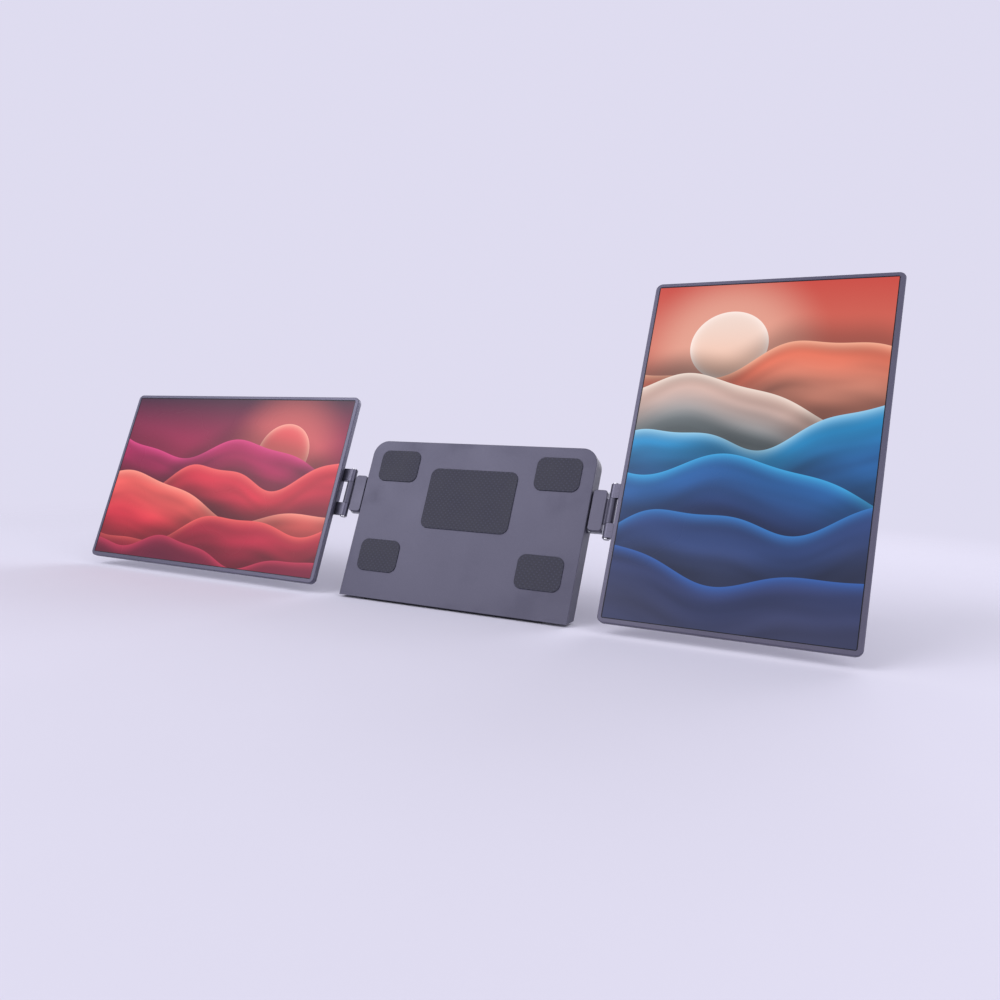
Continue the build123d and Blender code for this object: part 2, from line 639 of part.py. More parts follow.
def half_tooth_angle(radius):
    """Half of the pinion tooth's angle at a radius."""
    base_r = PITCH_R * math.cos(math.radians(PRESSURE_ANGLE))
    pitch_half = math.pi / (2 * GEAR_TEETH) - GEAR_BACKLASH / (2 * PITCH_R)
    pressure = math.acos(min(1.0, base_r / radius))
    return pitch_half + involute(math.radians(PRESSURE_ANGLE)) - involute(pressure)


def pinion_outline():
    """Involute teeth, with one tooth pointing straight up."""
    base_r = PITCH_R * math.cos(math.radians(PRESSURE_ANGLE))
    root_r = PITCH_R - DEDENDUM * GEAR_MODULE
    tip_r = PITCH_R + ADDENDUM * GEAR_MODULE
    flank = [root_r, base_r, PITCH_R, (PITCH_R + tip_r) / 2, tip_r]
    points = []
    for tooth in range(GEAR_TEETH):
        middle = math.pi / 2 - 2 * math.pi * tooth / GEAR_TEETH
        rising = [(radius, middle + half_tooth_angle(max(radius, base_r))) for radius in flank]
        falling = [(radius, middle - half_tooth_angle(max(radius, base_r))) for radius in flank[::-1]]
        points += [(r * math.cos(a), r * math.sin(a)) for r, a in rising + falling]
    return Polygon(*points, align=None)


def sync_pinion():
    """The pinion between the two racks."""
    front = RACK_FRONT + GEAR_END_GAP
    pinion = upright(Pos(0, SWIVEL_Z) * pinion_outline(), front, front + GEAR_T)
    return pinion - post(0, SWIVEL_Z, AXLE_R + AXLE_FIT, front, front + GEAR_T)


def pinion_axle():
    """The pinion's axle, with a shoulder behind the pinion."""
    shoulder = RACK_FRONT + GEAR_T + 2 * GEAR_END_GAP
    axle = post(0, SWIVEL_Z, AXLE_R, PLATE_BACK - AXLE_SEAT, shoulder)
    return axle + post(0, SWIVEL_Z, AXLE_SHOULDER_R, shoulder, CAVITY_BACK)


def rack_outline():
    """The lower rack's outline around the pinion's axis, teeth up."""
    pitch = math.pi * GEAR_MODULE
    half_tooth = (pitch / 2 - GEAR_BACKLASH) / 2
    slope = math.tan(math.radians(PRESSURE_ANGLE))
    tip_z = -PITCH_R + ADDENDUM * GEAR_MODULE
    root_z = -PITCH_R - DEDENDUM * GEAR_MODULE
    tip_half = half_tooth - ADDENDUM * GEAR_MODULE * slope
    root_half = half_tooth + DEDENDUM * GEAR_MODULE * slope
    last = math.floor((SLIDE_TRAVEL + PITCH_R) / pitch)
    points = [(RACK_OUTER_END, root_z - RACK_H), (RACK_OUTER_END, root_z)]
    for tooth in range(RACK_OUTER_TEETH - 1, -last - 1, -1):
        middle = (tooth + 0.5) * pitch
        points += [(middle + root_half, root_z), (middle + tip_half, tip_z)]
        points += [(middle - tip_half, tip_z), (middle - root_half, root_z)]
    free_end = -(last + 0.5) * pitch
    points += [(free_end, root_z), (free_end, root_z - RACK_H)]
    return Polygon(*points, align=None)


def slide_rack():
    """The rack on the right-hand bar; its free end passes in front of the other bar."""
    rack = upright(Pos(0, SWIVEL_Z) * rack_outline(), RACK_FRONT, RACK_FRONT + RACK_T)
    seat_l = RACK_OUTER_END - RACK_SEAT_END
    seat = Pos(RACK_SEAT_END + seat_l / 2, SWIVEL_Z + rack_middle()) * Rectangle(seat_l, RACK_H)
    rack += upright(seat, RACK_FRONT, BAR_FRONT)
    for x, z in rack_screw_places():
        rack -= post(x, z, SLIDE_SCREW_R + SCREW_FIT, RACK_FRONT + SCREW_TIP_GAP, BAR_FRONT)
    return rack


# ---- housing ----
def housing_outline(inset=0.0):
    """The housing's outline, drawn in by inset; its lower end is cut along the desk later."""
    width = HOUSING_W - 2 * inset
    height = HOUSING_TOP - inset
    radius = HOUSING_CORNER_R - inset
    return Pos(0, height / 2 - HOUSING_CORNER_R) * RectangleRounded(
        width, height + 2 * HOUSING_CORNER_R, radius
    )


def bar_window():
    """The opening in the housing's side walls for both bars."""
    z_range = (SWIVEL_Z - BAR_H / 2 - BAR_FIT, SWIVEL_Z + BAR_H / 2 + BAR_FIT)
    return block((-FAR / 2, FAR / 2), (BAR_FRONT - BAR_FIT, BAR_BACK + BAR_FIT), z_range)


def cover_screw_places():
    return [(side * COVER_SCREW_X, z) for side in (-1, 1) for z in COVER_SCREW_HEIGHTS]


def kick_recess():
    """The recess that takes the closed kickstand, open at the lower edge."""
    half_w = KICK_W / 2 + KICK_SIDE_GAP
    top = KICK_HEIGHT + KICK_BARREL_R + KICK_TOP_GAP
    recess = block((-half_w, half_w), (RECESS_FLOOR, HOUSING_BACK + PAST), (0, top))
    grip_z = KICK_HEIGHT - kick_leg_reach() + KICK_GRIP_R
    for side in (-1, 1):
        recess += post(side * half_w, grip_z, KICK_GRIP_R, RECESS_FLOOR, HOUSING_BACK + PAST)
    return recess


def kick_leg_reach():
    """Kickstand axis to the middle of its round foot, so that the foot meets the desk."""
    axis_height = KICK_HEIGHT * math.cos(LEAN_RAD) - KICK_Y * math.sin(LEAN_RAD)
    off_vertical = math.radians(KICK_OPEN - LEAN)
    return (axis_height - KICK_BARREL_R) / math.cos(off_vertical)


def rear_cover():
    """The moulded rear shell: slide guides, screw bosses and the kickstand's recess."""
    cover = upright(housing_outline(), PLATE_BACK, HOUSING_BACK)
    cover = fillet(rear_rim(cover), HOUSING_EDGE_R)
    cover = chamfer(front_rim(cover), HOUSING_SEAM)
    cavity = upright(housing_outline(HOUSING_WALL), PLATE_BACK, CAVITY_BACK)
    cavity -= below_desk(FOOT_T + BASE_SKIN)
    for x, z in cover_screw_places():
        cavity -= post(x, z, BOSS_R, PLATE_BACK, CAVITY_BACK)
    half_w = HOUSING_W / 2
    for side in (-1, 1):
        inner = BAR_H / 2 + BAR_FIT
        guide = sorted((SWIVEL_Z + side * inner, SWIVEL_Z + side * (inner + GUIDE_T)))
        cavity -= block((-half_w, half_w), (PLATE_BACK, CAVITY_BACK), guide)
    cover -= cavity
    cover -= bar_window()
    cover -= kick_recess()
    cover -= below_desk(FOOT_T)
    pin_l = KICK_W + 2 * (KICK_SIDE_GAP + KICK_PIN_BITE)
    cover -= rod_across(KICK_Y, KICK_HEIGHT, KICK_PIN_R + KICK_FIT, pin_l)
    for x, z in cover_screw_places():
        seat = HOUSING_BACK - COVER_SCREW_SINK - COVER_SCREW_HEAD_T
        cover -= post(x, z, COVER_SCREW_R + SCREW_FIT, PLATE_BACK, seat)
        cover -= post(x, z, COVER_SCREW_HEAD_R + SCREW_FIT, seat, HOUSING_BACK + PAST)
    return cover


def front_plate():
    """The flat plate behind the laptop's lid, pocketed for magnets, axle and screws."""
    plate = upright(housing_outline(), PLATE_FRONT, PLATE_BACK)
    plate = chamfer(front_rim(plate), PLATE_EDGE)
    plate -= below_desk(FOOT_T)
    for x, z in cover_screw_places():
        plate -= post(x, z, COVER_SCREW_R + SCREW_FIT, PLATE_BACK - COVER_SCREW_BITE, PLATE_BACK)
    for x, z in magnet_places():
        plate -= post(x, z, MAGNET_R + MAGNET_FIT, PLATE_BACK - MAGNET_T, PLATE_BACK)
    return plate - post(0, SWIVEL_Z, AXLE_R + AXLE_FIT, PLATE_BACK - AXLE_SEAT, PLATE_BACK)


def cover_screws():
    """The screws that close the housing from behind."""
    seat = HOUSING_BACK - COVER_SCREW_SINK - COVER_SCREW_HEAD_T
    tip = PLATE_BACK - COVER_SCREW_BITE
    sizes = (COVER_SCREW_R, COVER_SCREW_HEAD_R, COVER_SCREW_HEAD_T)
    return Compound([screw(x, z, seat, tip, *sizes) for x, z in cover_screw_places()])


def magnet_places():
    return [(side * MAGNET_X, z) for side in (-1, 1) for z in PAD_HEIGHTS]


def magnets():
    discs = [post(x, z, MAGNET_R, PLATE_BACK - MAGNET_T, PLATE_BACK) for x, z in magnet_places()]
    return Compound(discs)


def grip_pads():
    """Soft pads that the lid rests on: one in the middle and one over each magnet."""
    middle = Pos(0, SWIVEL_Z) * RectangleRounded(MIDDLE_PAD_W, MIDDLE_PAD_H, PAD_CORNER_R)
    pads = [soft_pad(middle)]
    for x, z in magnet_places():
        corner = Pos(x, z) * RectangleRounded(CORNER_PAD_W, CORNER_PAD_H, PAD_CORNER_R)
        pads.append(soft_pad(corner))
    return Compound(pads)


def soft_pad(outline):
    """A pad on the plate with a bevelled edge."""
    pad = upright(outline, PAD_FRONT, PLATE_FRONT)
    return chamfer(front_rim(pad), PAD_EDGE)


def slide_runners():
    """Slippery strips behind the bars' flanges."""
    strips = []
    length = HOUSING_W / 2 - HOUSING_WALL - 2 * RUNNER_INSET
    flange_mid = (BAR_H - RUNNER_H) / 2
    for side in (-1, 1):
        for end in (-1, 1):
            middle = Pos(side * (RUNNER_INSET + length / 2), SWIVEL_Z + end * flange_mid)
            strip = middle * Rectangle(length, RUNNER_H)
            strips.append(upright(strip, CAVITY_BACK - RUNNER_T, CAVITY_BACK))
    return Compound(strips)


def base_foot():
    """The rubber strip under the housing, level with the desk."""
    foot = extrude(RectangleRounded(FOOT_L, FOOT_W, FOOT_CORNER_R), amount=FOOT_T)
    foot = chamfer(foot.faces().sort_by(Axis.Z)[0].edges(), FOOT_EDGE)
    for place in GridLocations(0, FOOT_GROOVE_PITCH, 1, FOOT_GROOVES):
        foot -= place * Pos(0, 0, FOOT_GROOVE / 2) * Box(FOOT_L, FOOT_GROOVE, FOOT_GROOVE)
    return Rot(LEAN, 0, 0) * Pos(0, SOLE_Y, 0) * foot


# ---- kickstand, drawn closed and then swung open ----
def swing_open(shape):
    """Turn a closed kickstand piece about its axis to its open place."""
    axis = Axis((0, KICK_Y, KICK_HEIGHT), (1, 0, 0))
    return shape.rotate(axis, KICK_OPEN)


def kickstand_leg():
    """A plate with a rounded window, rolled into a barrel at its top."""
    reach = kick_leg_reach()
    front = KICK_Y - KICK_T / 2
    plate = Pos(0, KICK_HEIGHT - reach / 2) * Rectangle(KICK_W, reach)
    plate = fillet(plate.vertices().sort_by(Axis.Y)[:2], KICK_CORNER_R)
    window = Pos(0, KICK_HEIGHT - KICK_WINDOW_DROP)
    plate -= window * RectangleRounded(KICK_WINDOW_W, KICK_WINDOW_H, KICK_CORNER_R)
    leg = upright(plate, front, front + KICK_T)
    leg = chamfer(rear_rim(leg) + front_rim(leg), KICK_EDGE)
    leg += rod_across(KICK_Y, KICK_HEIGHT, KICK_BARREL_R, KICK_W)
    leg -= rod_across(KICK_Y, KICK_HEIGHT, KICK_PIN_R + KICK_FIT, KICK_W)
    leg -= kick_foot_closed(KICK_FIT)
    return swing_open(leg)


def kick_foot_closed(grow=0.0):
    """The round rubber foot on the closed leg's end."""
    foot_z = KICK_HEIGHT - kick_leg_reach()
    return rod_across(KICK_Y, foot_z, KICK_BARREL_R + grow, KICK_FOOT_W + 2 * grow)


def kickstand_foot():
    return swing_open(kick_foot_closed())


def kickstand_pin():
    length = KICK_W + 2 * (KICK_SIDE_GAP + KICK_PIN_BITE - KICK_PIN_PLAY)
    return rod_across(KICK_Y, KICK_HEIGHT, KICK_PIN_R, length)


STAND_PIECES = {
    "rear_cover": rear_cover,
    "front_plate": front_plate,
    "grip_pads": grip_pads,
    "magnets": magnets,
    "cover_screws": cover_screws,
    "slide_runners": slide_runners,
    "base_foot": base_foot,
    "pinion_axle": pinion_axle,
    "sync_pinion": sync_pinion,
    "kickstand_pin": kickstand_pin,
    "kickstand_leg": kickstand_leg,
    "kickstand_foot": kickstand_foot,
}

SIDE_PIECES = {
    "hinge_block": hinge_block,
    "hinge_pin": hinge_pin,
    "swivel_arm": swivel_arm,
    "swivel_washer": swivel_washer,
}

# The left rack and what holds it are turned half a turn about the pinion, not mirrored.
TURNED_PIECES = {
    "slide_bar": slide_bar,
    "slide_rack": slide_rack,
    "slide_screws": slide_screws,
}


def half_turn(shape):
    """Half a turn about the pinion's axis."""
    return shape.rotate(Axis((0, 0, SWIVEL_Z), (0, 1, 0)), 180)


def monitor_pieces():
    """Every monitor piece by name, still in landscape around the swivel axis."""
    pieces = {name: make() for name, make in MONITOR_PIECES.items()}
    for name, height in BUTTON_HEIGHTS.items():
        pieces[name] = button(height)
    return pieces


def write(name, shape):
    export_step(tip_back(shape), f"parts/{name}.step")


def main():
    os.makedirs("parts", exist_ok=True)
    for name, make in STAND_PIECES.items():
        write(name, make())
    for name, make in SIDE_PIECES.items():
        piece = make()
        write(f"right_{name}", piece)
        write(f"left_{name}", mirror(piece, about=Plane.YZ))
    for name, make in TURNED_PIECES.items():
        piece = make()
        write(f"right_{name}", piece)
        write(f"left_{name}", half_turn(piece))
    portrait = Pos(SWIVEL_X, 0, SWIVEL_Z) * Rot(0, -STOP_SWEEP, 0)
    landscape = Pos(-SWIVEL_X, 0, SWIVEL_Z)
    for name, piece in monitor_pieces().items():
        write(f"right_{name}", portrait * piece)
        write(f"left_{name}", landscape * mirror(piece, about=Plane.YZ))


main()
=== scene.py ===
# Looks for a folding stand that holds a monitor on each side of a laptop's lid.
import math

import bpy
from mathutils import Matrix, Vector


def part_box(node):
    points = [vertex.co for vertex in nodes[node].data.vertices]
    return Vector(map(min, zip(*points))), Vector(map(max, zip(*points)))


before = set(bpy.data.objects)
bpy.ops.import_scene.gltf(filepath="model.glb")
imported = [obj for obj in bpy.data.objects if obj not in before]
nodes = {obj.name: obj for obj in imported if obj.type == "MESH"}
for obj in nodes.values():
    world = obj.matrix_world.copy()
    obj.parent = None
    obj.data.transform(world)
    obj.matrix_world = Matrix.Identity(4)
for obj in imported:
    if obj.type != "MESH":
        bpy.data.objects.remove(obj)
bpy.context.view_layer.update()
print("frame loaded:", len(nodes), "nodes")

screenLean = math.radians(23.8)  # how far both screens lean back
acrossScreen = (math.pi / 2 - screenLean, 0, 0)  # turns a flat pattern's x, y to across and up a screen


# Node trees

def addNode(tree, kind, place, **values):
    node = tree.nodes.new(kind)
    node.location = place
    for key, value in values.items():
        setattr(node, key, value)
    return node


def setInputs(node, values):
    for key, value in values.items():
        node.inputs[key].default_value = value
    return node


def newGroup(name, inputs, outputs):
    group = bpy.data.node_groups.new(name, "ShaderNodeTree")
    for label, kind in inputs.items():
        group.interface.new_socket(label, in_out="INPUT", socket_type="NodeSocket" + kind)
    for label, kind in outputs.items():
        group.interface.new_socket(label, in_out="OUTPUT", socket_type="NodeSocket" + kind)
    entry = addNode(group, "NodeGroupInput", (-1000, 0))
    leave = addNode(group, "NodeGroupOutput", (800, 0))
    return group, entry, leave


def useGroup(tree, group, place, values):
    return setInputs(addNode(tree, "ShaderNodeGroup", place, node_tree=group), values)


def feed(tree, socket, value):
    if hasattr(value, "is_linked"):
        tree.links.new(value, socket)
    elif isinstance(value, tuple) and len(socket.default_value) == 4:
        socket.default_value = (*value[:3], 1.0)
    elif value is not None:
        socket.default_value = value


def maths(tree, operation, place, first, second=None):
    node = addNode(tree, "ShaderNodeMath", place, operation=operation)
    feed(tree, node.inputs[0], first)
    feed(tree, node.inputs[1], second)
    return node.outputs[0]


def spread(tree, value, place, fromRange, toRange, smooth=False):
    node = addNode(tree, "ShaderNodeMapRange", place)
    node.interpolation_type = "SMOOTHSTEP" if smooth else "LINEAR"
    feed(tree, node.inputs["Value"], value)
    for key, number in zip(("From Min", "From Max", "To Min", "To Max"), (*fromRange, *toRange)):
        feed(tree, node.inputs[key], number)
    return node.outputs["Result"]


def blendColours(tree, factor, place, first, second, way="MIX"):
    node = addNode(tree, "ShaderNodeMix", place, data_type="RGBA", blend_type=way)
    feed(tree, node.inputs[0], factor)
    feed(tree, node.inputs[6], first)
    feed(tree, node.inputs[7], second)
    return node.outputs[2]


noiseSpan = (0.3, 0.7)  # most of a noise's values lie in this range
noiseRoughness = 0.55


def noise(tree, vector, scale, place, detail=2.0):
    node = addNode(tree, "ShaderNodeTexNoise", place)
    setInputs(node, {"Detail": detail, "Roughness": noiseRoughness})
    tree.links.new(vector, node.inputs["Vector"])
    feed(tree, node.inputs["Scale"], scale)
    return node.outputs["Fac"]


# Effects that several finishes share

def buildFineGrain():
    group, entry, leave = newGroup(
        "fineGrain",
        {"Vector": "Vector", "Grain Size": "Float", "Patch Size": "Float"},
        {"Grain": "Float", "Patch": "Float"},
    )
    for outlet, label, height in (("Grain", "Grain Size", 150), ("Patch", "Patch Size", -150)):
        scale = maths(group, "DIVIDE", (-700, height), 1.0, entry.outputs[label])
        value = noise(group, entry.outputs["Vector"], scale, (-400, height), detail=3.0)
        group.links.new(value, leave.inputs[outlet])
    return group


handLook = {
    "smearSize": 0.05, "smearEdge": (0.5, 0.72),
    "facingUp": (0.25, 1.0), "speckScale": 900.0, "speckEdge": (0.45, 0.75), "thinDust": 0.25,
}


def buildHandMarks():
    # Faint smears, and dust on what faces up: both are masks from 0 to 1.
    group, entry, leave = newGroup(
        "handMarks",
        {"Vector": "Vector", "Facing": "Vector", "Smear Size": "Float"},
        {"Smear": "Float", "Dust": "Float"},
    )
    scale = maths(group, "DIVIDE", (-800, 200), 1.0, entry.outputs["Smear Size"])
    cloud = noise(group, entry.outputs["Vector"], scale, (-600, 200), detail=5.0)
    smear = spread(group, cloud, (-300, 200), handLook["smearEdge"], (0.0, 1.0), smooth=True)
    group.links.new(smear, leave.inputs["Smear"])
    parts = addNode(group, "ShaderNodeSeparateXYZ", (-600, -200))
    group.links.new(entry.outputs["Facing"], parts.inputs["Vector"])
    facingUp = spread(group, parts.outputs["Z"], (-400, -200), handLook["facingUp"], (0.0, 1.0))
    specks = noise(group, entry.outputs["Vector"], handLook["speckScale"], (-400, -400))
    sparse = spread(group, specks, (-200, -400), handLook["speckEdge"], (handLook["thinDust"], 1.0))
    group.links.new(maths(group, "MULTIPLY", (0, -200), facingUp, sparse), leave.inputs["Dust"])
    return group


scratchStretch = 50.0  # length of a scratch in widths


def buildBrushed():
    # Long fine scratches along x.
    group, entry, leave = newGroup(
        "brushed",
        {"Vector": "Vector", "Line Size": "Float"},
        {"Streak": "Float"},
    )
    stretch = addNode(group, "ShaderNodeMapping", (-700, 0))
    stretch.inputs["Scale"].default_value = (1.0 / scratchStretch, 1.0, 1.0)
    group.links.new(entry.outputs["Vector"], stretch.inputs["Vector"])
    scale = maths(group, "DIVIDE", (-700, -300), 1.0, entry.outputs["Line Size"])
    value = noise(group, stretch.outputs["Vector"], scale, (-400, 0), detail=4.0)
    group.links.new(value, leave.inputs["Streak"])
    return group


beadEdge = (0.18, 0.36)  # from a bead's flat top to its foot, in pitches


def buildBeads():
    # Small round beads in a diamond lattice on the flat pattern.
    group, entry, leave = newGroup(
        "beads",
        {"Vector": "Vector", "Pitch": "Float"},
        {"Bead": "Float"},
    )
    turned = addNode(group, "ShaderNodeMapping", (-700, 0))
    turned.inputs["Rotation"].default_value = (0.0, 0.0, math.pi / 4)
    group.links.new(entry.outputs["Vector"], turned.inputs["Vector"])
    cells = addNode(group, "ShaderNodeTexVoronoi", (-400, 0), voronoi_dimensions="2D", feature="F1")
    cells.inputs["Randomness"].default_value = 0.0
    group.links.new(turned.outputs["Vector"], cells.inputs["Vector"])
    scale = maths(group, "DIVIDE", (-700, -300), 1.0, entry.outputs["Pitch"])
    group.links.new(scale, cells.inputs["Scale"])
    bead = spread(group, cells.outputs["Distance"], (-100, 0), beadEdge, (1.0, 0.0), smooth=True)
    group.links.new(bead, leave.inputs["Bead"])
    return group


def buildRings():
    # Fine rings around the middle of the flat pattern, as a lathe leaves.
    group, entry, leave = newGroup(
        "rings",
        {"Vector": "Vector", "Ring Size": "Float"},
        {"Ring": "Float"},
    )
    flat = addNode(group, "ShaderNodeVectorMath", (-800, 0), operation="MULTIPLY")
    flat.inputs[1].default_value = (1.0, 1.0, 0.0)
    group.links.new(entry.outputs["Vector"], flat.inputs[0])
    reach = addNode(group, "ShaderNodeVectorMath", (-600, 0), operation="LENGTH")
    group.links.new(flat.outputs["Vector"], reach.inputs[0])
    along = addNode(group, "ShaderNodeCombineXYZ", (-400, 0))
    group.links.new(reach.outputs["Value"], along.inputs["X"])
    scale = maths(group, "DIVIDE", (-600, -300), 1.0, entry.outputs["Ring Size"])
    value = noise(group, along.outputs["Vector"], scale, (-100, 0), detail=1.0)
    group.links.new(value, leave.inputs["Ring"])
    return group


fineGrain = buildFineGrain()
handMarks = buildHandMarks()
brushed = buildBrushed()
beads = buildBeads()
rings = buildRings()


# Finishes: sizes in metres, colours linear

dustColour = (0.38, 0.38, 0.45)

finishes = {
    "monitorMetal": {
        "colour": (0.100, 0.095, 0.138), "second": (0.116, 0.110, 0.158), "metallic": 0.65,
        "roughness": (0.38, 0.45), "grainSize": 0.0005, "speckle": 0.10, "patchSize": 0.10,
        "bump": 0.00003, "smear": 0.05, "dust": 0.04,
    },
    "armMetal": {
        "colour": (0.096, 0.092, 0.130), "second": (0.114, 0.109, 0.152), "metallic": 0.8,
        "roughness": (0.30, 0.42), "grainSize": 0.0006, "speckle": 0.05, "patchSize": 0.07,
        "bump": 0.00003, "smear": 0.10, "dust": 0.06, "lineSize": 0.0007, "streak": 0.16,
    },
    "hingeMetal": {
        "colour": (0.090, 0.086, 0.125), "second": (0.104, 0.100, 0.143), "metallic": 0.55,
        "roughness": (0.36, 0.50), "grainSize": 0.0006, "speckle": 0.08, "patchSize": 0.03,
        "bump": 0.00005, "smear": 0.06, "dust": 0.06,
    },
    "slideMetal": {
        "colour": (0.33, 0.34, 0.37), "second": (0.40, 0.41, 0.44), "metallic": 1.0,
        "roughness": (0.26, 0.36), "grainSize": 0.0005, "speckle": 0.04, "patchSize": 0.05,
        "bump": 0.00002, "smear": 0.05, "dust": 0.0, "lineSize": 0.0005, "streak": 0.14,
    },
    "plateMetal": {
        "colour": (0.080, 0.077, 0.115), "second": (0.094, 0.091, 0.133), "metallic": 0.55,
        "roughness": (0.42, 0.54), "grainSize": 0.0006, "speckle": 0.10, "patchSize": 0.08,
        "bump": 0.00006, "smear": 0.08, "dust": 0.04,
    },
    "kickstandMetal": {
        "colour": (0.096, 0.092, 0.130), "second": (0.114, 0.109, 0.152), "metallic": 0.8,
        "roughness": (0.32, 0.44), "grainSize": 0.0006, "speckle": 0.05, "patchSize": 0.06,
        "bump": 0.00003, "smear": 0.12, "dust": 0.06, "lineSize": 0.0008, "streak": 0.16,
    },
    "housingShell": {
        "colour": (0.054, 0.052, 0.088), "second": (0.066, 0.064, 0.104), "metallic": 0.0,
        "roughness": (0.48, 0.62), "grainSize": 0.0009, "speckle": 0.12, "patchSize": 0.05,
        "bump": 0.00012, "smear": 0.08, "dust": 0.05,
    },
    "keyPlastic": {
        "colour": (0.115, 0.115, 0.150), "second": (0.135, 0.135, 0.172), "metallic": 0.3,
        "roughness": (0.22, 0.32), "grainSize": 0.0003, "speckle": 0.04, "patchSize": 0.01,
        "bump": 0.00001, "smear": 0.10, "dust": 0.0,
    },
    "padSilicone": {
        "colour": (0.026, 0.026, 0.046), "second": (0.034, 0.034, 0.057), "metallic": 0.0,
        "roughness": (0.62, 0.74), "grainSize": 0.0010, "speckle": 0.08, "patchSize": 0.03,
        "bump": 0.00006, "smear": 0.0, "dust": 0.05, "beadPitch": 0.0034, "beadHeight": 5.0,
        # painted highlight on the bead crowns and painted shade between the beads: a colour scale from
        # foot to crown
        "beadPaintedLightAndShade": (0.85, 1.35),
    },
    "footRubber": {
        "colour": (0.021, 0.021, 0.030), "second": (0.032, 0.032, 0.044), "metallic": 0.0,
        "roughness": (0.72, 0.86), "grainSize": 0.0009, "speckle": 0.10, "patchSize": 0.02,
        "bump": 0.00012, "smear": 0.0, "dust": 0.12,
    },
    "turnedSteel": {
        "colour": (0.55, 0.55, 0.57), "second": (0.48, 0.48, 0.50), "metallic": 1.0,
        "roughness": (0.22, 0.32), "grainSize": 0.0003, "speckle": 0.03, "patchSize": 0.01,
        "bump": 0.00001, "smear": 0.0, "dust": 0.0, "lineSize": 0.0004, "streak": 0.10,
    },
    "blackScrews": {
        "colour": (0.050, 0.050, 0.056), "second": (0.070, 0.070, 0.077), "metallic": 0.9,
        "roughness": (0.28, 0.42), "grainSize": 0.0003, "speckle": 0.15, "patchSize": 0.004,
        "bump": 0.00001, "smear": 0.0, "dust": 0.05,
    },
    "gearPlastic": {
        "colour": (0.74, 0.74, 0.70), "second": (0.68, 0.68, 0.63), "metallic": 0.0,
        "roughness": (0.35, 0.48), "grainSize": 0.0006, "speckle": 0.03, "patchSize": 0.01,
        "bump": 0.00002, "smear": 0.10, "dust": 0.0,
    },
    "runnerPlastic": {
        "colour": (0.70, 0.70, 0.68), "second": (0.78, 0.78, 0.76), "metallic": 0.0,
        "roughness": (0.40, 0.52), "grainSize": 0.0006, "speckle": 0.03, "patchSize": 0.02,
        "bump": 0.00002, "smear": 0.08, "dust": 0.0,
    },
    "magnetPlating": {
        "colour": (0.66, 0.65, 0.62), "second": (0.58, 0.57, 0.55), "metallic": 1.0,
        "roughness": (0.12, 0.22), "grainSize": 0.0004, "speckle": 0.03, "patchSize": 0.006,
        "bump": 0.00001, "smear": 0.15, "dust": 0.0,
    },
    "portMetal": {
        "colour": (0.50, 0.50, 0.52), "second": (0.42, 0.42, 0.44), "metallic": 1.0,
        "roughness": (0.22, 0.34), "grainSize": 0.0003, "speckle": 0.03, "patchSize": 0.003,
        "bump": 0.00001, "smear": 0.0, "dust": 0.0,
    },
    "speakerPlastic": {
        "colour": (0.030, 0.030, 0.033), "second": (0.040, 0.040, 0.044), "metallic": 0.0,
        "roughness": (0.60, 0.72), "grainSize": 0.0006, "speckle": 0.15, "patchSize": 0.01,
        "bump": 0.00008, "smear": 0.0, "dust": 0.0,
    },
    "backlightFilm": {
        "colour": (0.80, 0.80, 0.78), "second": (0.86, 0.86, 0.84), "metallic": 0.0,
        "roughness": (0.30, 0.42), "grainSize": 0.0008, "speckle": 0.02, "patchSize": 0.08,
        "bump": 0.00001, "smear": 0.0, "dust": 0.0,
    },
}

capLook = {
    "colour": (0.084, 0.081, 0.115), "second": (0.098, 0.095, 0.131), "metallic": 0.4,
    "roughness": (0.30, 0.40), "grainSize": 0.0005, "speckle": 0.05, "patchSize": 0.02,
    "bump": 0.00004, "smear": 0.08, "dust": 0.05, "ringSize": 0.0007, "ringShade": 0.14,
}


def newMaterial(name):
    material = bpy.data.materials.new(name)
    material.use_nodes = True
    tree = material.node_tree
    place = addNode(tree, "ShaderNodeTexCoord", (-1400, 0))
    return material, tree, tree.nodes["Principled BSDF"], place.outputs["Object"]


def flatPattern(tree, place, middle, unit):
    # Coordinates across and up the lean of the screens, counted in units from a middle.
    flat = addNode(tree, "ShaderNodeMapping", (-1200, -900), vector_type="TEXTURE")
    setInputs(flat, {"Location": middle, "Rotation": acrossScreen, "Scale": (unit, unit, unit)})
    tree.links.new(place, flat.inputs["Vector"])
    return flat.outputs["Vector"]


def brighten(tree, place, colour, share):
    node = addNode(tree, "ShaderNodeVectorMath", place, operation="SCALE")
    tree.links.new(colour, node.inputs[0])
    tree.links.new(share, node.inputs["Scale"])
    return node.outputs["Vector"]


def around(share):
    return (1.0 - share, 1.0 + share)


